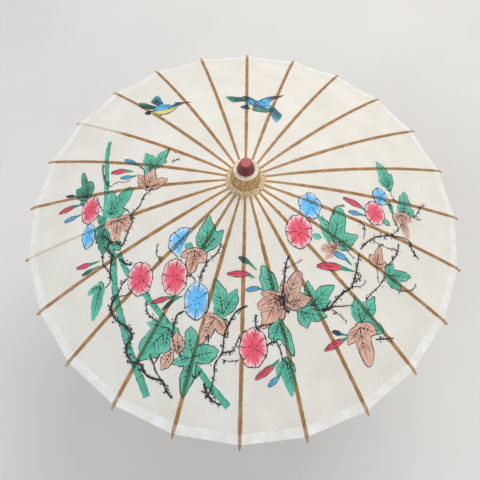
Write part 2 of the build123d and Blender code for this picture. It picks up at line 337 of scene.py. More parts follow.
def paint_material():
    """Washes and ink: colours come from the mesh, darkened where a rib lies beneath."""
    n = Nodes("water_paint")
    mask = rib_shadow(n)[0]
    paint = n("VertexColor", layer_name="paint").outputs[0]
    plan = n.uv("plan")
    wash = n.noise(plan, 10.0, 4.0, 0.6)
    grain = n.noise(plan, 60.0, 2.0, 0.7)
    tone = n.ramp(wash, (0.3, (0.80, 0.80, 0.80, 1)), (0.7, (1.12, 1.12, 1.12, 1)))
    colour = n.mix(1.0, paint, tone, "MULTIPLY")
    colour = n.tint(colour, n.smooth(grain, 0.6, 0.8), 0.25, srgb(226, 222, 212))
    brown = n.mix(1.0, colour, srgb(178, 132, 84), "MULTIPLY")
    red = n("SeparateColor", {0: paint}).outputs[0]
    show = n.scale(red, -0.85, 0.95, clamp=True)
    colour = n.mix(n.times(mask, show), colour, brown)
    return n.finish(Base_Color=colour, Roughness=0.6, Normal=n.bump(grain, 0.3, 0.0003))


def wood_material(name, dark, mid, pale, stretch, size, rough=0.45, glow=None):
    """Straight-grained wood or bamboo; stretch is the mapping scale that draws the grain."""
    n = Nodes(name)
    place = n.place(stretch)
    grain = n.noise(place, size, 6.0, 0.65)
    fine = n.noise(place, size * 5, 4.0, 0.7)
    colour = n.ramp(grain, (0.28, dark), (0.5, mid), (0.72, pale))
    colour = n.tint(colour, n.smooth(fine, 0.52, 0.72), 0.35, dark)
    if glow:
        worn = n.noise(n.place(), glow[1], 4.0, 0.6)
        colour = n.tint(colour, n.smooth(worn, 0.5, 0.68), 0.6, glow[0])
    normal = n.bump(n.plus(grain, n.times(fine, 0.5)), 0.35, 0.0004)
    roughness = n.scale(fine, 0.25, rough - 0.12)
    return n.finish(Base_Color=colour, Roughness=roughness, Normal=normal)


def lacquer_material():
    """Red lacquer with painted light: the flat top, which faces up, is coloured a lighter red than the
    cone's side.
    """
    n = Nodes("red_lacquer")
    low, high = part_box("finial")
    height = n("SeparateXYZ", {0: n("TexCoord").outputs["Object"]}).outputs[2]
    # mask of the flat top, which gets the lighter red as painted light
    top = n.smooth(height, high[2] - 0.0017, high[2] - 0.0006)
    cloud = n.noise(n.place(), 160.0, 5.0, 0.65)
    # the side in the darker red and the top face in the lighter red: painted light and shade on one
    # lacquer
    side = n.ramp(cloud, (0.3, srgb(92, 18, 32)), (0.7, srgb(122, 30, 42)))
    face = n.ramp(cloud, (0.3, srgb(146, 38, 42)), (0.7, srgb(172, 56, 58)))
    colour = n.mix(top, side, face)
    chips = n.smooth(n.noise(n.place(), 900.0, 3.0, 0.7), 0.70, 0.76)
    colour = n.tint(colour, chips, 0.4, srgb(196, 120, 96))
    turned = n.noise(n.place((60, 60, 1500)), 1.0, 3.0)
    rough = n.scale(cloud, 0.25, 0.34)
    normal = n.bump(n.plus(cloud, turned), 0.25, 0.0004)
    return n.finish(Base_Color=colour, Roughness=rough, Normal=normal, Coat_Weight=0.25)


def wire_material():
    n = Nodes("tie_wire")
    cloud = n.noise(n.place(), 400.0, 4.0)
    colour = n.ramp(cloud, (0.35, srgb(92, 84, 72)), (0.65, srgb(170, 160, 142)))
    rough = n.scale(cloud, 0.4, 0.2)
    return n.finish(Base_Color=colour, Roughness=rough, Metallic=0.85, Normal=n.bump(cloud, 0.3, 0.0002))


def floor_material():
    n = Nodes("pale_floor")
    cloud = n.noise(n.place(), 3.0, 3.0)
    colour = n.ramp(cloud, (0.3, srgb(214, 212, 208)), (0.7, srgb(220, 218, 214)))
    return n.finish(Base_Color=colour, Roughness=0.85)


# dark, middle and pale grain, the stretch that draws it, its fineness, then any
# roughness and worn patches
WOODS = {
    "bamboo_rib": ((140, 98, 52), (172, 130, 78), (204, 168, 116), (1, 1, 1), 130.0),
    "bamboo_stretcher": ((168, 128, 74), (200, 162, 106), (224, 194, 144), (1, 1, 1), 110.0),
    "bamboo_stick": ((150, 108, 60), (190, 150, 96), (216, 182, 130), (1, 1, 0.08), 420.0),
    "turned_grip": ((88, 52, 28), (122, 76, 42), (150, 100, 60), (1, 1, 0.10), 300.0, 0.36),
    "turned_head": (
        (138, 98, 50), (176, 136, 84), (206, 170, 120), (1, 1, 0.22), 260.0, 0.5,
        (srgb(222, 204, 172), 170.0),
    ),
    "turned_runner": ((150, 108, 62), (186, 146, 94), (212, 178, 128), (1, 1, 0.15), 300.0),
    "cream_collar": ((204, 182, 150), (230, 216, 192), (242, 234, 218), (1, 1, 1), 260.0, 0.55),
    "catch_bamboo": ((160, 120, 70), (196, 158, 104), (220, 188, 138), (1, 1, 0.1), 400.0),
}
MATERIALS = {
    "oiled_paper": paper_material(),
    "hem_paper": hem_material(),
    "paint": paint_material(),
    "neck_paper": neck_material(),
    "red_lacquer": lacquer_material(),
    "tie_wire": wire_material(),
}
for name, (dark, middle, pale, *rest) in WOODS.items():
    MATERIALS[name] = wood_material(name, srgb(*dark), srgb(*middle), srgb(*pale), *rest)


def dress(obj, material):
    obj.data.materials.clear()
    obj.data.materials.append(MATERIALS[material])
    return obj


SEAM_ANGLE = math.radians(50)   # sharper edges than this stay sharp in the shading


# --- mesh helper ------------------------------------------------------------------------
def mesh_object(name, points, faces, plan, rib, colours=None):
    """A mesh with plan and rib UVs from each vertex's plan position."""
    mesh = bpy.data.meshes.new(name)
    mesh.from_pydata([tuple(p) for p in points], [], faces)
    plan_uv = mesh.uv_layers.new(name="plan")
    for loop in mesh.loops:
        x, y = plan[loop.vertex_index]
        plan_uv.data[loop.index].uv = (x / 100, y / 100)
    ribs_uv = mesh.uv_layers.new(name="rib")
    for loop in mesh.loops:
        ribs_uv.data[loop.index].uv = rib_uv(*plan[loop.vertex_index], rib)
    if colours:
        paint = mesh.color_attributes.new("paint", "FLOAT_COLOR", "POINT")
        for index, colour in enumerate(colours):
            paint.data[index].color = colour
    mesh.shade_smooth()
    mesh.set_sharp_from_angle(angle=SEAM_ANGLE)
    obj = bpy.data.objects.new(name, mesh)
    bpy.context.scene.collection.objects.link(obj)
    return obj


def slab(rows, thickness, plan_rows):
    """A closed thin sheet from a grid of top points; returns points, faces and plan places."""
    count, width = len(rows), len(rows[0])
    top = [p for row in rows for p in row]
    low = [p - Vector((0, 0, thickness * MM)) for p in top]
    plan = [p for row in plan_rows for p in row] * 2
    size = count * width
    faces = []
    for r in range(count - 1):
        for c in range(width - 1):
            a, b = r * width + c, (r + 1) * width + c
            faces.append((a, b, b + 1, a + 1))
            faces.append((size + a, size + a + 1, size + b + 1, size + b))
    border = list(range(width))
    border += [r * width + width - 1 for r in range(1, count)]
    border += [(count - 1) * width + c for c in range(width - 2, -1, -1)]
    border += [r * width for r in range(count - 2, 0, -1)]
    for a, b in zip(border, border[1:] + border[:1]):
        faces.append((a, b, size + b, size + a))
    return top + low, faces, plan


def polygon_corner(ridge, rib):
    """Where a rib crosses the ring of the given radius, in plan."""
    azimuth = azimuth_of(rib)
    return Vector((ridge * math.cos(azimuth), ridge * math.sin(azimuth)))


def chord(ridge):
    """The spacing of the ribs at a radius."""
    return 2 * ridge * math.sin(math.radians(GORE / 2))


def steps(low, high, count):
    return [low + (high - low) * k / count for k in range(count + 1)]


PAPER_START = HEAD_R + 5.8    # clear of the head when the ribs fold
HEM_START = CANOPY_R - HEM_WIDTH
HEM_END = CANOPY_R + 0.2      # the hem just covers the paper's edge
WEB_COLUMNS = 6
WEB_ROWS = 72
HEM_ROWS = 4
STRIP_ARCH = ((-1, 0), (-0.6, 0.8), (0, 1), (0.6, 0.8), (1, 0))   # (across, rise) shares
STRIP_FLAT = ((-1, 1), (0, 1), (1, 1))
SHEET_THICKNESS = {"oiled_paper": PAPER_THICKNESS, "hem_paper": HEM_LIFT}


def paper_piece(name, material, rib, rows, plan):
    """A closed sheet that rides its rib."""
    piece = mesh_object(name, *slab(rows, SHEET_THICKNESS[material], plan), rib)
    dress(piece, material)
    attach(piece, f"rib_{rib + 1:02d}")
    return piece


def web_piece(name, material, rib, side, ridges, lift):
    """Paper from a rib's strip to midway to the next rib; side is 1 or -1."""
    rows, plan = [], []
    for ridge in ridges:
        here, other = polygon_corner(ridge, rib), polygon_corner(ridge, rib + side)
        inner = min(STRIP_HALF * 0.74 / chord(ridge), 0.42)
        row = [here.lerp(other, share) for share in steps(inner, 0.5, WEB_COLUMNS)][::side]
        plan.append([(p.x, p.y) for p in row])
        rows.append([canopy_point(p.x, p.y, lift) for p in row])
    return paper_piece(name, material, rib, rows, plan)


def strip_piece(name, material, rib, ridges, section, lift):
    """Paper that is glued down along the top of a rib."""
    rows, plan = [], []
    azimuth = azimuth_of(rib)
    outward = Vector((math.cos(azimuth), math.sin(azimuth)))
    tangent = Vector((-outward.y, outward.x))
    for ridge in ridges:
        # narrower near the head, so that the strips clear each other when furled
        half = min(STRIP_HALF, 2.15 + 0.024 * (ridge - PAPER_START))
        row = [outward * ridge + tangent * (half * share) for share, _ in section]
        plan.append([(p.x, p.y) for p in row])
        rows.append([canopy_point(p.x, p.y, lift * rise) for p, (_, rise) in zip(row, section)])
    return paper_piece(name, material, rib, rows, plan)


def make_gore(rib):
    """The paper either side of one rib, as far as midway to its neighbours."""
    number = f"{rib + 1:02d}"
    ridges = steps(PAPER_START, CANOPY_R, WEB_ROWS)
    hem_ridges = steps(HEM_START, HEM_END, HEM_ROWS)
    webs = []
    for side, end in ((1, "right"), (-1, "left")):
        web = web_piece(f"paper_web_{number}_{end}", "oiled_paper", rib, side, ridges, 0.0)
        hem = web_piece(f"hem_web_{number}_{end}", "hem_paper", rib, side, hem_ridges, HEM_LIFT)
        webs.append((side, web, hem))
    strip = strip_piece(
        f"paper_strip_{number}", "oiled_paper", rib, ridges, STRIP_ARCH, STRIP_LIFT
    )
    hem_strip = strip_piece(
        f"hem_strip_{number}", "hem_paper", rib, hem_ridges, STRIP_FLAT, STRIP_LIFT + HEM_LIFT
    )
    for side, web, hem in webs:
        fold_flat(web, rib)
        fold_flat(hem, rib)
        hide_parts("canopy")
        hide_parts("hem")


def fold_flat(piece, rib):
    """Gives the piece a mesh of its own."""
    azimuth = azimuth_of(rib)
    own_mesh(piece)


for index in range(RIBS):
    make_gore(index)

# --- the paper gathered up the side of the head ------------------------------------------
NECK_PLEATS = 5            # pleats in each gore
NECK_ROWS = ((17.62, 3.0), (17.8, 1.9), (18.6, 0.9), (20.6, 0.38), (23.9, 0.30))   # radius, rise
neck_points, neck_plan, neck_faces = [], [], []
neck_count = RIBS * NECK_PLEATS * 2
pleats = random.Random(7)
for level, (radius, rise) in enumerate(NECK_ROWS):
    fade = 1 - level / 4
    for k in range(neck_count):
        turn = 2 * math.pi * k / neck_count
        far = radius + (0.35 if k % 2 else -0.1) * fade + pleats.uniform(0, 0.35) * fade
        x, y = far * math.cos(turn), far * math.sin(turn)
        ruffle = pleats.uniform(-1.0, 0.9) if level == 0 else pleats.uniform(-0.1, 0.25)
        base = canopy_point(x, y, 0.0).z / MM
        height = max(base + 0.1, base + rise * 1.9 + ruffle * (level < 2))
        neck_points.append(Vector((x, y, height)) * MM)
        neck_plan.append((x, y))
for level in range(4):
    for k in range(neck_count):
        a, b = level * neck_count + k, level * neck_count + (k + 1) % neck_count
        neck_faces.append((a, a + neck_count, b + neck_count, b))
neck = mesh_object("paper_neck", neck_points, neck_faces, neck_plan, 0)
dress(neck, "neck_paper")
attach(neck, "stick")


# --- the painting: washes and ink strokes in plan ----------------------------------------
INK = srgb(18, 16, 20)
GREEN = srgb(84, 186, 156)
DEEP_GREEN = srgb(58, 150, 122)
PEACH = srgb(222, 172, 148)
DUSKY = srgb(208, 166, 146)
PINK = srgb(234, 84, 106)
PINK_EDGE = srgb(246, 222, 222)
BLUE = srgb(96, 184, 238)
BLUE_EDGE = srgb(206, 228, 240)
NIGHT = srgb(44, 72, 118)
TEAL = srgb(56, 128, 122)
SKY = srgb(84, 178, 226)
YELLOW = srgb(228, 216, 126)
MAROON = srgb(104, 50, 52)

rng = random.Random(24)
patches = []               # (corners, colours, lift)
lift_turn = 0

# heights of the washes above the paper, so that later motifs cover earlier ones
CANE_LIFT = 0.20
LEAF_LIFT = 0.26
PALE_LEAF_LIFT = 0.34
BLUE_FLOWER_LIFT = 0.39
BUD_LIFT = 0.44
PINK_FLOWER_LIFT = 0.46
FEATHER_LIFT = 0.46
TWIG_LIFT = 0.60
OUTLINE = 0.05             # ink above the wash it outlines
DETAIL = 0.06              # veins, rays and rims, over the outlines
HAIR = 0.004               # just enough for one stroke to lie over another


def next_lift(base):
    """A slightly different height for each motif, so that overlapping washes don't meet."""
    global lift_turn
    lift_turn = (lift_turn + 1) % 7
    return base + 0.012 * lift_turn


def blend(a, b, share):
    share = max(0.0, min(1.0, share))
    return tuple(p + (q - p) * share for p, q in zip(a, b))


def catmull(a, b, c, d, t):
    """From b to c as t goes 0 to 1, with a and d as the neighbours on either side."""
    bend, twist = 2 * a - 5 * b + 4 * c - d, 3 * b - a - 3 * c + d
    return 0.5 * (2 * b + (c - a) * t + bend * t**2 + twist * t**3)


def curve_through(points, step=1.6):
    """Points along a smooth curve through the given ones."""
    ends = [points[0]] + list(points) + [points[-1]]
    line = []
    for p0, p1, p2, p3 in zip(ends, ends[1:], ends[2:], ends[3:]):
        count = max(1, round(math.dist(p1, p2) / step))
        for k in range(count):
            t = k / count
            line.append(tuple(catmull(*four, t) for four in zip(p0, p1, p2, p3)))
    line.append(tuple(points[-1]))
    return line


def heading(line, k):
    a, b = line[max(k - 1, 0)], line[min(k + 1, len(line) - 1)]
    length = math.dist(a, b) or 1.0
    return (b[0] - a[0]) / length, (b[1] - a[1]) / length


def edge_of(line, width_at, side):
    """The line's edge on one side, half its width away all along."""
    rim = []
    for k, (x, y) in enumerate(line):
        dx, dy = heading(line, k)
        half = width_at(k / (len(line) - 1)) / 2 * side
        rim.append((x - dy * half, y + dx * half))
    return rim


def ring_patches(at, tone, count, rings, tones, lift):
    """A disc of patches; at(k, ring) gives a corner and tone(k, value) its colour."""
    for k in range(count):
        for inner, outer, a, b in zip(rings, rings[1:], tones, tones[1:]):
            corners = [at(k, inner), at(k, outer), at(k + 1, outer), at(k + 1, inner)]
            colours = [tone(k, a), tone(k, b), tone(k + 1, b), tone(k + 1, a)]
            if inner == 0.0:
                corners, colours = corners[:3], colours[:3]
            patches.append((corners, colours, lift))


def ribbon(line, width_at, colour_at, lift, columns=1):
    """A painted stroke along a line; width_at and colour_at are functions of 0..1 along it."""
    rows = []
    for k, (x, y) in enumerate(line):
        share = k / max(1, len(line) - 1)
        dx, dy = heading(line, k)
        half = width_at(share) / 2
        row = []
        for c in range(columns + 1):
            side = 2 * c / columns - 1
            row.append(((x - dy * half * side, y + dx * half * side), colour_at(share, side)))
        rows.append(row)
    for low, high in zip(rows, rows[1:]):
        for c in range(columns):
            corners = [low[c], low[c + 1], high[c + 1], high[c]]
            patches.append(([p for p, _ in corners], [q for _, q in corners], lift))


def ink(points, width, lift, taper=True, step=1.6):
    """A brush line, heavier in places, that thins towards its end."""
    line = curve_through(points, step)
    phase = rng.random() * 9

    def width_at(share):
        swell = 1 + 0.35 * math.sin(phase + share * 11)
        return width * swell * (1 - 0.75 * share if taper else 1.0)

    ribbon(line, width_at, lambda share, side: INK, lift)


def dot(x, y, radius, colour, lift, count=7):
    start = rng.random() * 6
    corners = []
    for k in range(count):
        reach = radius * (0.75 + 0.5 * rng.random())
        angle = start + 2 * math.pi * k / count
        corners.append((x + reach * math.cos(angle), y + reach * math.sin(angle)))
    patches.append((corners, [colour] * count, lift))


def leaf(x, y, colour, *lobes):
    """A lobed leaf: each lobe is (angle, length, width) from the leaf's base."""
    lift = next_lift(LEAF_LIFT if colour in (GREEN, DEEP_GREEN) else PALE_LEAF_LIFT)
    longest = max(length for _, length, _ in lobes)
    phase = rng.random() * 9

    def reach(turn):
        """The leaf's edge in one direction: the farthest of its lobes."""
        best = 0.13 * longest
        for angle, length, width in lobes:
            off = math.radians((turn - angle + 180) % 360 - 180)
            if abs(off) < math.pi / 2:
                a, b = length / 2, width * 0.56
                along, across = b * math.cos(off), a * math.sin(off)
                far = 2 * a * b * along / (along**2 + across**2)
                tip = 1 + 0.12 * math.exp(-((off / 0.10) ** 2))
                best = max(best, far * tip)
        wave = 0.035 * math.sin(phase + math.radians(turn) * 17)
        return best * (1 + wave + 0.02 * math.sin(math.radians(turn) * 31))

    count = 108
    rings = (0.0, 0.3, 0.6, 0.85, 1.0)
    edge = [reach(360 * k / count) for k in range(count)]

    def at(k, ring):
        turn = 2 * math.pi * k / count
        far = edge[k % count] * ring
        return x + far * math.cos(turn), y + far * math.sin(turn)

    pale, dark = blend(colour, srgb(236, 232, 220), 0.16), blend(colour, INK, 0.16)
    shade = [0.5 + 0.5 * math.sin(phase + k * 0.21) for k in range(count)]

    def tint(k, ring):
        return blend(blend(colour, dark, 1 - ring), pale, 0.55 * ring * shade[k % count])

    ring_patches(at, tint, count, rings, rings, lift)
    start = rng.randrange(count)
    while start < count + 4:
        run = rng.randint(9, 20)
        rim = [at(k, 1.0) for k in range(start - 1, min(start + run, count + 5) + 1)]
        ink(rim, rng.uniform(0.6, 1.05), lift + OUTLINE, taper=False)
        start += run
    first = [at(k, 1.0) for k in range(count - 2, count + count // 3)]
    ink(first, 0.75, lift + OUTLINE, taper=False)
    for angle, length, width in lobes:
        if length > 11:
            lobe_veins(x, y, angle, length, width, lift)


def lobe_veins(x, y, angle, length, width, lift):
    """The midrib of one lobe and the veins that leave it."""
    turn = math.radians(angle + rng.uniform(-3, 3))
    ax, ay = math.cos(turn), math.sin(turn)
    bend = rng.uniform(-0.05, 0.05) * length

    def point(t, side):
        side += bend * math.sin(math.pi * t)
        return x + ax * length * t - ay * side, y + ay * length * t + ax * side

    ink([point(0.02, 0), point(0.45, 0), point(0.96, 0)], 1.1, lift + DETAIL)
    veins = 3 if length > 20 else 2
    for k in range(veins):
        t = 0.24 + 0.44 * k / veins + rng.uniform(-0.03, 0.03)
        spread = width * 0.47 * math.sin(math.pi * (t + 0.12))
        for side in (-1, 1):
            middle, end = point(t + 0.09, side * spread * 0.55), point(t + 0.22, side * spread)
            ink([point(t, 0), middle, end], 0.8, lift + DETAIL - 0.005)


def flower(x, y, rx, ry, core, edge, open_from=0.0, open_to=360.0, petals=7, notch=0.10):
    """A trumpet flower: a strong heart, a pale ragged edge and bent ink rays."""
    lift = next_lift(PINK_FLOWER_LIFT if core == PINK else BLUE_FLOWER_LIFT)
    count = 60
    span = open_to - open_from
    rings = (0.0, 0.3, 0.55, 0.7, 0.8, 0.9, 1.0)
    tones = (1.0, 1.0, 0.97, 0.88, 0.66, 0.34, 0.08)
    closed = span >= 359.0
    phase = rng.random() * 6
    blush = [0.16 * math.sin(phase + k * 1.31) + rng.uniform(-0.14, 0.14) for k in range(count)]
    frill = []
    for k in range(count):
        turn = math.radians(open_from + span * k / count)
        scallop = abs(math.sin(petals * turn / 2 + phase)) ** 0.5
        nick = 0.03 * abs(math.sin(11.5 * turn)) + rng.uniform(-0.02, 0.02)
        frill.append(1.02 - notch + notch * scallop + nick)

    def at(k, ring):
        angle = math.radians(open_from + span * k / count)
        far = ring * (frill[int(k) % count] if ring > 0.6 else 1.0)
        return x + rx * far * math.cos(angle), y + ry * far * math.sin(angle)

    def tone(k, value):
        return blend(edge, core, value + (blush[k % count] if 0.1 < value < 0.95 else 0))

    ring_patches(at, tone, count, rings, tones, lift)
    start = 0
    while start < count:
        run = rng.randint(4, 9)
        stop = min(start + run, count)
        rim = [at(k, 1.0) for k in range(start, stop + 1)]
        ink(rim, rng.uniform(0.6, 1.15), lift + DETAIL, taper=False, step=1.2)
        start = stop
    rays = petals if closed else max(3, round(petals * span / 360))
    for k in range(rays):
        place = (k + rng.uniform(0.25, 0.6)) * count / rays
        outer, middle = at(place, 1.0), at(place + 0.8, 0.68)
        inner = at(place + 0.2, rng.uniform(0.30, 0.48))
        if k % 3 == 2:
            middle, inner = at(place + 0.3, 0.86), at(place + 0.5, 0.74)
        ink([outer, middle, inner], 1.3, lift + DETAIL + 0.005)
    for k in range(5):
        place = count * (k + rng.uniform(0.1, 0.6)) / 5
        ink([at(place + 1.5, rng.uniform(0.24, 0.40)), at(place, 0.08)], 1.0, lift + DETAIL + 0.006)


def bud(tip, base, width, colour, stem=None):
    """A furled bud from its tip to its calyx, with the calyx and a stem to follow."""
    lift = next_lift(BUD_LIFT)
    line = [tuple(a + (b - a) * k / 8 for a, b in zip(tip, base)) for k in range(9)]

    def width_at(share):
        return width * math.sin(math.pi * (0.04 + 0.80 * share)) ** 0.8

    def wash(share, side):
        return blend(colour, INK, 0.10 + 0.16 * (side > 0.2) - 0.1 * (side < -0.5))

    ribbon(line, width_at, wash, lift, 3)
    for side in (-1, 1):
        ink(edge_of(line, width_at, side), 0.75, lift + OUTLINE, taper=False)
    ink([line[1], line[4], line[7]], 0.7, lift + OUTLINE)
    dx, dy = heading(line, 8)
    reach = math.dist(tip, base)
    end = stem or (base[0] + dx * reach * 0.5, base[1] + dy * reach * 0.5)
    calyx = [base, tuple(a + (b - a) * 0.5 for a, b in zip(base, end)), end]
    ribbon(
        curve_through(calyx), lambda share: width * 0.62 * (1 - share) ** 0.8 + 0.5,
        lambda share, side: blend(DEEP_GREEN, GREEN, share), lift + HAIR, 2,
    )
    ink(calyx, 0.6, lift + DETAIL, taper=False)


def twig(points, width, thorns=0.5):
    """A dark thorny branch: knots, thorns and little hooks on both sides."""
    lift = next_lift(TWIG_LIFT)
    line = curve_through(points, 1.3)
    knots = [rng.uniform(0.6, 1.35) * (1.6 if rng.random() < 0.07 else 1.0) for _ in line]

    def width_at(share):
        return width * knots[round(share * (len(line) - 1))] * (1 - 0.35 * share)

    ribbon(line, width_at, lambda share, side: INK, lift)
    for k in range(1, len(line) - 1):
        if rng.random() > thorns * 0.62:
            continue
        x, y = line[k]
        dx, dy = heading(line, k)
        side = rng.choice((-1, 1))
        reach = width * 0.5 + rng.uniform(0.9, 3.2)
        lean = rng.uniform(-0.6, 0.9)
        tip = (x + (-dy * side + dx * lean) * reach, y + (dx * side + dy * lean) * reach)
        kind = rng.random()
        if kind < 0.62:
            ink([(x, y), tip], 0.6 + 0.2 * width, lift + HAIR)
        elif kind < 0.8:
            dot(tip[0], tip[1], 0.35 + width * 0.28, INK, lift + HAIR)
        else:
            hook = (tip[0] + dx * 2.2 * side, tip[1] + dy * 2.2 * side)
            back = (x + dx * 2.6, y + dy * 2.6)
            ink([(x, y), tip, hook, back], 0.8, lift + HAIR, taper=False)


def stalk(points, width):
    """A thick green cane with ragged sides and dark joints."""
    lift = CANE_LIFT
    line = curve_through(points, 2.0)
    shake = [rng.uniform(-0.5, 0.5) for _ in line]

    def width_at(share):
        return width(share) + shake[round(share * (len(line) - 1))]

    def wash(share, side):
        dark = 0.10 + 0.30 * (side > 0.4) + 0.10 * math.sin(share * 40)
        return blend(GREEN, DEEP_GREEN, dark + 0.2)

    ribbon(line, width_at, wash, lift, 4)
    for side in (-1, 1):
        rim = edge_of(line, width_at, side)
        start = 0
        while start < len(rim) - 3:
            run = rng.randint(3, 12)
            if rng.random() < (0.85 if side > 0 else 0.4):
                ink(rim[start:start + run], rng.uniform(0.5, 1.2), lift + OUTLINE)
            start += run
    for k in range(8, len(line) - 4, 11):
        x, y = line[k]
        dx, dy = heading(line, k)
        half = width_at(k / (len(line) - 1)) / 2
        joint = [(x - dy * half, y + dx * half), (x + dx, y + dy), (x + dy * half, y - dx * half)]
        ink(joint, 0.9, lift + OUTLINE)


def feathers(x, y, angle, spread, length, width, count, near, far):
    """A fan of feathers from a wing or tail's root, each outlined in ink."""
    lift = next_lift(FEATHER_LIFT)
    for k in range(count):
        share = k / max(1, count - 1)
        turn = math.radians(angle + spread * (share - 0.5))
        ax, ay = math.cos(turn), math.sin(turn)
        reach = length * (1 - 0.22 * share)
        tint = blend(near, far, 0.35 + 0.6 * share)
        line = [(x + ax * reach * t / 8, y + ay * reach * t / 8) for t in range(9)]

        def width_at(s):
            return width * (0.45 + 0.55 * math.sin(math.pi * min(1, 0.15 + s * 0.80)))

        def wash(s, side):
            return blend(near, tint, s * 1.6)

        ribbon(line, width_at, wash, lift + HAIR * k, 2)
        for side in (-1, 1):
            half = 0.42 * width * side
            rim = [(px - ay * half, py + ax * half) for px, py in line[2:8]]
            ink(rim, 0.85, lift + OUTLINE, taper=False)
        for t in (0.45, 0.62, 0.78):
            root = (x + ax * reach * t, y + ay * reach * t)
            barb = (root[0] + ax * 2.6 - ay * 1.6, root[1] + ay * 2.6 + ax * 1.6)
            ink([root, barb], 0.75, lift + OUTLINE)


def body_blob(points, widths, colours, lift):
    """Part of a bird's body; widths and colours run evenly along it."""
    line = curve_through(points, 1.4)
    last = len(widths) - 1

    def pick(values, share):
        place = share * last
        low = min(int(place), last - 1)
        return values[low], values[low + 1], place - low

    def width_at(share):
        a, b, t = pick(widths, share)
        return a + (b - a) * t

    def colour_at(share, side):
        a, b, t = pick(colours, share)
        return blend(blend(a, b, t), INK, 0.12 * (side > 0.3))

    ribbon(line, width_at, colour_at, lift, 4)


# green canes
stalk([(-191, 89), (-189, 62), (-186, 42), (-181, 12), (-178, -12), (-176, -42), (-169, -64),
       (-160, -84), (-157, -98), (-154, -122), (-149, -142), (-143, -160), (-136, -180),
       (-129, -200), (-121, -217), (-113, -233), (-108, -246)], lambda share: 5.4 + 3.2 * share)
stalk([(-152, -84), (-143, -102), (-134, -116), (-120, -130), (-106, -145), (-94, -159), (-84, -171),
       (-68, -192), (-55, -210), (-46, -220), (-36, -232), (-14, -255)], lambda share: 5.6 + 2.0 * share)

# leaves: base, colour, then (angle, length, width) of each lobe
LEAVES = [
    (-206, -2, DEEP_GREEN, (112, 42, 8), (140, 24, 14), (95, 24, 14), (165, 16, 10)),
    (-211, -3, DEEP_GREEN, (-70, 10, 12)),
    (-118, 27, GREEN, (118, 27, 15), (62, 29, 13), (-160, 12, 11), (150, 14, 11)),
    (-169, -33, GREEN, (97, 32, 15), (55, 40, 16), (15, 18, 13), (130, 14, 10)),
    (-178, -45, GREEN, (120, 14, 7), (-110, 18, 10)),
    (-176, -55, DEEP_GREEN, (-85, 26, 12), (-120, 14, 9)),
    (-160, -66, GREEN, (-60, 16, 10), (-100, 14, 9)),
    (-173, -122, GREEN, (-98, 36, 13), (-150, 17, 8), (-70, 12, 8)),
    (-84, -173, GREEN, (-137, 44, 25), (-100, 26, 15), (-45, 15, 12), (168, 24, 12)),
    (-45, -86, GREEN, (86, 35, 17), (115, 20, 12), (48, 26, 14)),
    (-61, -84, GREEN, (150, 9, 7)),
    (-22, -158, GREEN, (104, 34, 16), (60, 27, 15), (150, 12, 10)),
    (-55, -204, GREEN, (98, 30, 15), (14, 27, 18), (-165, 22, 11), (-106, 38, 14)),
    (36, -137, GREEN, (114, 32, 16), (150, 14, 9)),
    (42, -165, GREEN, (-110, 21, 15), (-64, 34, 11)),
    (78, -145, GREEN, (96, 24, 11), (42, 33, 15), (14, 22, 13)),
    (66, -152, GREEN, (-8, 28, 15), (-62, 18, 12)),
    (108, -71, GREEN, (78, 45, 19), (22, 30, 15), (118, 30, 14), (-10, 20, 10)),
    (96, -44, GREEN, (150, 8, 6), (-40, 7, 5)),
    (91, -66, GREEN, (165, 9, 7)),
    (140, -160, GREEN, (104, 26, 17), (60, 31, 16), (-14, 27, 15)),
    (176, -101, GREEN, (60, 16, 11), (4, 30, 12), (-40, 21, 14)),
    (190, 20, GREEN, (104, 37, 15), (74, 22, 11), (140, 16, 9)),
    (209, -16, GREEN, (82, 32, 15), (112, 16, 12), (30, 16, 12), (160, 10, 9)),
    (50, -206, GREEN, (-76, 33, 13), (-118, 17, 12), (-46, 14, 9)),
    (187, -4, GREEN, (-70, 14, 6)),
    (176, -30, GREEN, (-30, 10, 6)),
    (-122, -2, PEACH, (124, 24, 13), (84, 27, 13), (24, 24, 13)),
    (-158, -42, PEACH, (-158, 17, 12), (-32, 22, 15), (-92, 27, 14), (5, 18, 10)),
    (-57, -87, PEACH, (-160, 17, 8), (-102, 27, 13), (-46, 18, 13)),
    (-31, -162, PEACH, (-122, 30, 12), (-54, 22, 12), (170, 12, 9)),
    (-73, -198, PEACH, (96, 19, 13), (60, 12, 8)),
    (-80, -198, PEACH, (-120, 20, 12)),
    (43, -137, PEACH, (-152, 27, 15), (-120, 36, 18), (-86, 24, 10), (172, 20, 8)),
    (50, -143, DUSKY, (66, 36, 16), (100, 22, 11), (10, 27, 15), (-16, 18, 11)),
    (112, -72, PEACH, (-158, 21, 10), (-128, 21, 10)),
    (138, -165, PEACH, (-10, 20, 15), (-128, 22, 12), (-72, 41, 17)),
    (203, -17, DUSKY, (-132, 15, 12), (-76, 31, 11), (-22, 16, 12)),
    (163, -91, PEACH, (78, 22, 10), (126, 14, 10), (20, 13, 9)),
]
for x, y, colour, *lobes in LEAVES:
    leaf(x, y, colour, *lobes)

# frilled flowers: centre, half sizes and, where one is half hidden, its open span
for x, y, rx, ry in ((-199, -22, 12, 19), (-122, -117, 15, 19), (-80, -117, 14.5, 20.5),
                     (13, -193, 15.5, 20.5), (65, -61, 15.5, 20), (165, -23, 13.5, 16)):
    flower(x, y, rx, ry, PINK, PINK_EDGE)
flower(-53, -144, 14, 20, BLUE, BLUE_EDGE, petals=6)
flower(79, -27, 14, 17, BLUE, BLUE_EDGE, petals=5, notch=0.24)
flower(-70, -77, 19, 17, BLUE, BLUE_EDGE, 62, 250)
flower(175, 3, 10, 12.5, BLUE, BLUE_EDGE, petals=5, notch=0.2)
flower(-196, -58, 8.5, 16, BLUE, BLUE_EDGE, petals=5, notch=0.16)

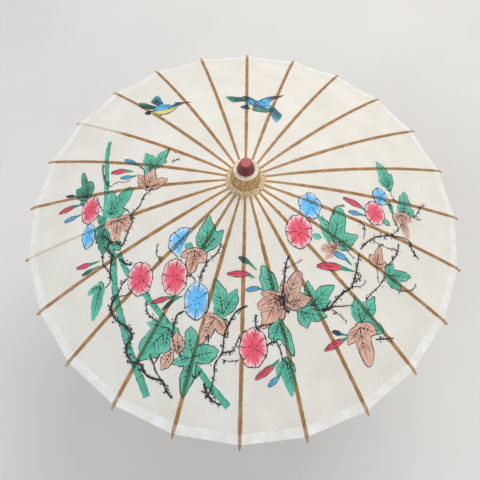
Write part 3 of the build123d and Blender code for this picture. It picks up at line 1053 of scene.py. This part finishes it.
# buds: tip, base, width, colour, end of the calyx
for tip, base, width, colour, stem in (
    ((-178, 31), (-157, 30), 7.5, PINK, (-146, 27)),
    ((-248, -18), (-226, -12), 6.5, PINK, (-214, -11)),
    ((-208, -98), (-190, -95), 6.0, PINK, (-176, -92)),
    ((-107, -145), (-87, -140), 5.5, PINK, (-73, -139)),
    ((-19, -114), (5, -114), 6.5, PINK, (13, -118)),
    ((16, -226), (35, -212), 7.0, PINK, (43, -204)),
    ((86, -100), (115, -99), 9.5, PINK, (133, -102)),
    ((123, -9), (146, -17), 7.5, PINK, (153, -22)),
    ((95, -193), (116, -181), 7.0, PINK, (124, -177)),
    ((-161, 49), (-145, 39), 6.0, BLUE, (-138, 34)),
    ((-163, 20), (-148, 19), 5.0, BLUE, (-139, 20)),
    ((-237, -32), (-221, -28), 6.0, BLUE, (-211, -25)),
    ((-199, -108), (-186, -102), 4.5, TEAL, (-176, -98)),
    ((-241, 6), (-228, 4), 4.0, NIGHT, (-218, 2)),
    ((-6, -95), (6, -101), 5.5, TEAL, (15, -109)),
    ((3, -132), (17, -129), 5.0, BLUE, (23, -131)),
    ((31, -233), (41, -224), 5.5, BLUE, (46, -217)),
    ((107, -82), (121, -87), 7.0, BLUE, (130, -95)),
    ((129, -27), (143, -28), 5.5, BLUE, (153, -29)),
    ((104, -172), (114, -174), 5.0, NIGHT, (124, -175)),
    ((-93, -153), (-80, -143), 4.0, TEAL, (-69, -138)),
):
    bud(tip, base, width, colour, stem)

# thorny branches: points, width, how thorny
for points, width, thorns in (
    ([(-151, -134), (-156, -146), (-154, -156), (-147, -164), (-139, -168)], 3.0, 0.8),
    ([(-139, -168), (-132, -175), (-128, -182), (-134, -191), (-133, -201), (-126, -210)], 3.2, 0.8),
    ([(-126, -210), (-117, -211), (-112, -219), (-107, -224), (-98, -227), (-90, -229), (-85, -239),
      (-78, -247)], 3.0, 0.5),
    ([(-106, -201), (-101, -211), (-98, -219), (-91, -228)], 1.6, 0.2),
    ([(-93, -200), (-100, -211)], 1.3, 0.3),
    ([(-175, -60), (-166, -68), (-168, -78), (-160, -88), (-161, -104), (-159, -116)], 2.2, 0.9),
    ([(-167, -71), (-156, -70), (-149, -76), (-144, -64), (-142, -56)], 2.2, 0.9),
    ([(-142, -56), (-138, -46), (-141, -38), (-131, -26), (-127, -14), (-121, -8),
      (-115, -3)], 1.8, 0.7),
    ([(-141, -38), (-147, -29), (-155, -25)], 1.2, 0.2),
    ([(-173, -84), (-171, -97), (-163, -106), (-160, -118), (-166, -125)], 1.5, 0.6),
    ([(-150, -92), (-142, -98), (-134, -100)], 2.4, 0.8),
    ([(-150, -136), (-144, -122), (-138, -116)], 1.6, 0.5),
    ([(-147, -136), (-136, -135), (-129, -129)], 1.1, 0.2),
    ([(-119, -130), (-111, -134), (-108, -138)], 1.1, 0.5),
    ([(-113, -143), (-111, -155), (-104, -162), (-98, -166)], 1.5, 0.9),
    ([(-193, 47), (-189, 30), (-182, 15), (-175, 8)], 1.6, 0.5),
    ([(-175, 8), (-166, 14), (-156, 12), (-148, 14)], 0.8, 0.5),
    ([(-138, 34), (-131, 27), (-128, 12), (-124, -2)], 1.0, 0.2),
    ([(-99, 56), (-103, 42), (-105, 32), (-112, 26)], 0.7, 0.3),
    ([(-94, 33), (-90, 36), (-84, 38)], 0.8, 0.9),
    ([(-102, -77), (-104, -88), (-97, -99)], 1.0, 0.5),
    ([(-27, -79), (-31, -90), (-42, -101), (-48, -110), (-51, -121)], 1.3, 0.8),
    ([(-66, -111), (-60, -116), (-55, -122)], 1.0, 0.2),
    ([(-67, -155), (-75, -159), (-78, -169), (-80, -181)], 2.0, 0.9),
    ([(-80, -181), (-76, -196), (-68, -204)], 1.2, 0.3),
    ([(5, -149), (-7, -155), (-14, -166), (-20, -180), (-22, -198), (-30, -211), (-31, -226),
      (-37, -243)], 2.0, 0.5),
    ([(-38, -180), (-38, -189)], 1.6, 0.9),
    ([(-21, -199), (-10, -196), (-5, -186), (-3, -180)], 1.8, 0.8),
    ([(-22, -206), (-12, -208), (-3, -206)], 1.0, 0.6),
    ([(-19, -163), (-14, -170)], 1.2, 0.3),
    ([(-46, -219), (-52, -226), (-56, -222)], 1.6, 0.9),
    ([(-42, -231), (-38, -242), (-30, -250), (-22, -253)], 2.6, 0.7),
    ([(53, -91), (50, -98), (48, -110), (47, -121), (45, -133), (42, -143)], 1.9, 0.8),
    ([(48, -107), (58, -101), (68, -94)], 0.9, 0.4),
    ([(45, -136), (48, -150), (54, -154)], 3.2, 0.6),
    ([(100, -147), (108, -138), (118, -128), (128, -121), (133, -108), (137, -94),
      (139, -80)], 2.0, 0.7),
    ([(132, -115), (141, -106), (134, -101)], 1.3, 0.3),
    ([(129, -120), (141, -118), (148, -111)], 0.8, 0.3),
    ([(95, -150), (104, -145), (118, -143), (130, -141)], 1.4, 0.4),
    ([(100, -147), (110, -151), (122, -160)], 0.8, 0.3),
    ([(92, -150), (101, -147)], 4.0, 0.6),
    ([(118, -72), (128, -82), (133, -87)], 0.9, 0.5),
    ([(15, -158), (16, -172), (23, -169), (33, -168)], 1.8, 0.8),
    ([(28, -190), (38, -186), (43, -193), (47, -206)], 1.7, 0.7),
    ([(142, -74), (149, -66), (162, -56), (176, -52), (190, -50), (205, -50), (213, -54)], 1.8, 0.5),
    ([(213, -54), (214, -63), (223, -74)], 1.8, 0.8),
    ([(186, -50), (196, -40), (204, -30)], 1.3, 0.4),
    ([(142, -37), (149, -45), (147, -60)], 1.3, 0.9),
    ([(158, -60), (172, -65), (187, -68)], 0.8, 0.5),
    ([(195, -59), (192, -72), (186, -80), (178, -90)], 1.5, 0.9),
    ([(173, -103), (165, -115), (155, -124), (147, -134)], 1.2, 0.9),
    ([(162, -92), (163, -102), (164, -112)], 0.8, 0.2),
    ([(223, -17), (231, -8), (238, 3), (244, 6)], 1.3, 0.7),
    ([(223, -16), (235, -18)], 0.9, 0.5),
    ([(191, 20), (194, 8), (200, -2)], 0.8, 0.1),
    ([(180, -2), (190, -12), (191, -25), (197, -38)], 0.9, 0.5),
    ([(158, -177), (168, -176), (181, -174)], 1.6, 0.9),
    ([(190, -119), (203, -117), (212, -113), (216, -106)], 1.2, 0.5),
    ([(109, -35), (111, -25), (117, -22), (125, -21)], 1.0, 0.8),
    ([(-232, -15), (-214, -10)], 0.6, 0.1),
    ([(-192, -8), (-187, -17), (-180, -26)], 0.9, 0.5),
):
    twig(points, width, thorns)

# bird on the left: two raised wings, yellow breast, beak to the right
feathers(-120, 146, 126, 22, 36, 6.0, 5, SKY, TEAL)
feathers(-123, 141, 154, 13, 43, 5.5, 4, TEAL, DEEP_GREEN)
feathers(-131, 136, 186, 18, 15, 5.0, 3, NIGHT, NIGHT)
body_blob([(-136, 134), (-124, 132), (-112, 134), (-103, 140), (-99, 146)], [2, 8, 9, 7, 4],
          [YELLOW, YELLOW, YELLOW, YELLOW, NIGHT], 0.56)
body_blob([(-133, 139), (-124, 144), (-115, 145), (-108, 144), (-100, 148)], [4, 12, 13, 6, 6],
          [TEAL, SKY, SKY, TEAL, NIGHT], 0.57)
body_blob([(-102, 148), (-97, 148), (-91, 148)], [6.5, 7, 3], [NIGHT, NIGHT, MAROON], 0.58)
body_blob([(-94, 149), (-88, 149), (-79, 149)], [3.4, 2.4, 0.4], [MAROON, MAROON, MAROON], 0.59)
ink([(-134, 135), (-122, 128), (-110, 129), (-100, 138)], 1.0, 0.64, taper=False)
ink([(-120, 128), (-122, 125), (-117, 126)], 1.2, 0.64)
ink([(-112, 138), (-106, 140), (-101, 144)], 1.1, 0.64)
ink([(-104, 152), (-98, 152), (-90, 150), (-80, 149)], 1.0, 0.64)
ink([(-121, 150), (-112, 150), (-109, 147)], 1.1, 0.64)
ink([(-126, 147), (-119, 143)], 1.2, 0.64)
ink([(-120, 148), (-113, 145)], 1.0, 0.64)

# bird on the right: spread wings, head up to the right
feathers(6, 151, 178, 18, 36, 6.0, 4, TEAL, DEEP_GREEN)
feathers(31, 140, -64, 20, 37, 6.5, 4, SKY, TEAL)
feathers(10, 140, 216, 26, 20, 5.0, 3, NIGHT, NIGHT)
body_blob([(-6, 155), (0, 154), (6, 147), (12, 140), (20, 142)], [6, 11, 16, 17, 14],
          [TEAL, NIGHT, SKY, NIGHT, SKY], 0.57)
body_blob([(6, 139), (6, 133), (7, 129)], [7, 6, 3], [SKY, YELLOW, YELLOW], 0.575)
body_blob([(9, 132), (17, 129), (28, 128), (34, 131)], [6, 10, 10, 3],
          [TEAL, DEEP_GREEN, TEAL, NIGHT], 0.565)
body_blob([(18, 135), (23, 144), (29, 152), (36, 158)], [14, 18, 13, 8], [NIGHT, SKY, SKY, NIGHT], 0.58)
body_blob([(35, 157), (40, 160), (45, 161)], [7, 6, 4], [NIGHT, MAROON, MAROON], 0.59)
body_blob([(43, 161), (48, 164), (54, 168)], [4, 2.6, 0.5], [MAROON, MAROON, DUSKY], 0.60)
for start, end in (
    ((1, 157), (8, 149)), ((8, 151), (14, 140)), ((20, 149), (27, 140)), ((27, 156), (34, 149)),
    ((14, 139), (22, 133)), ((18, 132), (29, 130)), ((22, 146), (31, 144)), ((-2, 155), (5, 145)),
    ((3, 146), (9, 136)), ((12, 147), (19, 144)), ((16, 137), (26, 137)), ((31, 159), (37, 153)),
):
    ink([start, end], 1.5, 0.65)
ink([(-6, 158), (1, 158), (8, 153), (15, 148), (21, 152), (29, 159), (36, 162)], 1.0, 0.65, taper=False)
ink([(7, 127), (18, 124), (29, 123)], 0.9, 0.65, taper=False)
ink([(38, 163), (45, 163), (54, 169)], 1.0, 0.65)
ink([(38, 155), (44, 158), (50, 163)], 0.8, 0.65)


# --- cut the painting along the ribs and between them, so that it folds with the paper ------
def cut(corners, colours, azimuth, offset=0.0):
    """Splits a patch by a radial line, or one parallel to it; returns its non-empty sides."""
    dx, dy = math.cos(azimuth), math.sin(azimuth)
    sides = ([], [])
    count = len(corners)
    for k in range(count):
        a, b = corners[k], corners[(k + 1) % count]
        ca, cb = colours[k], colours[(k + 1) % count]
        da, db = dx * a[1] - dy * a[0] - offset, dx * b[1] - dy * b[0] - offset
        if da >= 0:
            sides[0].append((a, ca))
        if da <= 0:
            sides[1].append((a, ca))
        if da * db < 0:
            t = da / (da - db)
            point = (a[0] + (b[0] - a[0]) * t, a[1] + (b[1] - a[1]) * t)
            sides[0].append((point, blend(ca, cb, t)))
            sides[1].append((point, blend(ca, cb, t)))
    return [([p for p, _ in side], [c for _, c in side]) for side in sides if len(side) > 2]


def split_patch(corners, colours):
    """The pieces of a patch between the folds, which lie every half gore."""
    half = GORE / 2
    first = math.degrees(math.atan2(corners[0][1], corners[0][0]))
    turns = [(math.degrees(math.atan2(y, x)) - first + 180) % 360 - 180 for x, y in corners]
    low = math.floor((first + min(turns)) / half) + 1
    high = math.ceil((first + max(turns)) / half) - 1
    pieces = [(corners, colours)]
    for fold in range(low, high + 1):
        azimuth = math.radians(fold * half)
        pieces = [part for piece in pieces for part in cut(*piece, azimuth)]
    return pieces


def place_of(corners):
    """(nearest rib, distance across from it) of the middle of a patch."""
    x = sum(p[0] for p in corners) / len(corners)
    y = sum(p[1] for p in corners) / len(corners)
    rib = sector(x, y)[0]
    azimuth = azimuth_of(rib)
    return rib, y * math.cos(azimuth) - x * math.sin(azimuth)


def split_at_strips(corners, colours):
    """The pieces between the folds, cut again where the paper stops being glued to a rib."""
    pieces = []
    for part, tints in split_patch(corners, colours):
        rib, across = place_of(part)
        azimuth = azimuth_of(rib)
        pieces += cut(part, tints, azimuth, math.copysign(STRIP_HALF, across))
    return pieces


painted = {}
for corners, colours, lift in patches:
    for part, tints in split_at_strips(corners, colours):
        rib, across = place_of(part)
        side = 0 if abs(across) < STRIP_HALF else math.copysign(1, across)
        empty = {"points": [], "faces": [], "plan": [], "tints": [], "seen": {}}
        layer = painted.setdefault((rib, side), empty)
        face = []
        for (x, y), tint in zip(part, tints):
            key = (round(x, 3), round(y, 3), round(lift, 4), tuple(round(v, 3) for v in tint))
            if key not in layer["seen"]:
                layer["seen"][key] = len(layer["points"])
                layer["points"].append(canopy_point(x, y, lift))
                layer["plan"].append((x, y))
                layer["tints"].append(tint)
            if layer["seen"][key] not in face:
                face.append(layer["seen"][key])
        if len(face) > 2:
            layer["faces"].append(face)

for (rib, side), layer in sorted(painted.items()):
    number = f"{rib + 1:02d}"
    end = {-1: "_right", 0: "", 1: "_left"}[side]
    piece = mesh_object(
        f"painting_{number}{end}", layer["points"], layer["faces"], layer["plan"], rib, layer["tints"]
    )
    bm = bmesh.new()
    bm.from_mesh(piece.data)
    for face in bm.faces:
        if face.normal.z < 0:
            face.normal_flip()
    bm.to_mesh(piece.data)
    bm.free()
    dress(piece, "paint")
    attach(piece, f"rib_{number}")
    if side:
        fold_flat(piece, rib)

# --- the CAD pieces keep their shape and get their materials -----------------------------
NODE_MATERIALS = {
    "shaft": "bamboo_stick",
    "grip": "turned_grip",
    "head": "turned_head",
    "head_tie": "tie_wire",
    "finial": "red_lacquer",
    "finial_collar": "cream_collar",
    "stop_pin": "tie_wire",
    "runner": "turned_runner",
    "runner_tie": "tie_wire",
    "catch": "catch_bamboo",
}
for node, obj in frame["nodes"].items():
    if node.startswith("rib_"):
        material = "bamboo_rib"
    elif node.startswith("stretcher_"):
        material = "bamboo_stretcher"
    else:
        material = NODE_MATERIALS.get(node)
    if material:
        for slot in obj.material_slots:
            slot.material = MATERIALS[material]

# --- floor, light and camera ---------------------------------------------------------------
bpy.ops.mesh.primitive_plane_add(size=8.0, location=(0, 0, -0.0005))
floor = bpy.context.object
floor.name = "floor"
floor.data.materials.append(floor_material())

world = bpy.data.worlds.new("soft_room")
bpy.context.scene.world = world
world.use_nodes = True
world.node_tree.nodes["Background"].inputs[0].default_value = srgb(232, 236, 242)
world.node_tree.nodes["Background"].inputs[1].default_value = 0.64


def area_light(name, place, size, power, colour):
    data = bpy.data.lights.new(name, "AREA")
    data.energy = power
    data.size = size
    data.color = colour[:3]
    light = bpy.data.objects.new(name, data)
    light.location = place
    light.rotation_euler = (Vector((0, 0, 0.35)) - Vector(place)).to_track_quat("-Z", "Y").to_euler()
    bpy.context.scene.collection.objects.link(light)


area_light("key", (0.5, 1.3, 1.9), 1.4, 27.0, srgb(255, 250, 244))
area_light("fill", (-1.4, -0.9, 1.5), 1.8, 14.0, srgb(240, 246, 255))
area_light("low_fill", (1.4, -1.2, 0.5), 1.2, 9.0, srgb(255, 252, 248))

CAMERA_TILT = -23.91       # degrees off straight down, towards the front
CAMERA_ROLL = -1.32
CAMERA_DISTANCE = 533.4
CAMERA_SHIFT = (6.6, 73.5)
CAMERA_LENS = 33.0

roll = Matrix.Rotation(math.radians(CAMERA_ROLL), 4, "Z")
tilt = Matrix.Rotation(math.radians(CAMERA_TILT), 4, "X")
world_turn = (roll @ tilt).transposed()
eye = world_turn @ Vector((-CAMERA_SHIFT[0], -CAMERA_SHIFT[1], CAMERA_DISTANCE))
camera_data = bpy.data.cameras.new("camera")
camera_data.lens = CAMERA_LENS
camera_data.sensor_width = 36.0
camera_data.clip_start = 0.01
camera = bpy.data.objects.new("camera", camera_data)
camera.matrix_world = Matrix.Translation((eye + Vector((0, 0, APEX_Z))) * MM) @ world_turn
bpy.context.scene.collection.objects.link(camera)
bpy.context.scene.camera = camera
bpy.context.scene.view_settings.view_transform = "Standard"
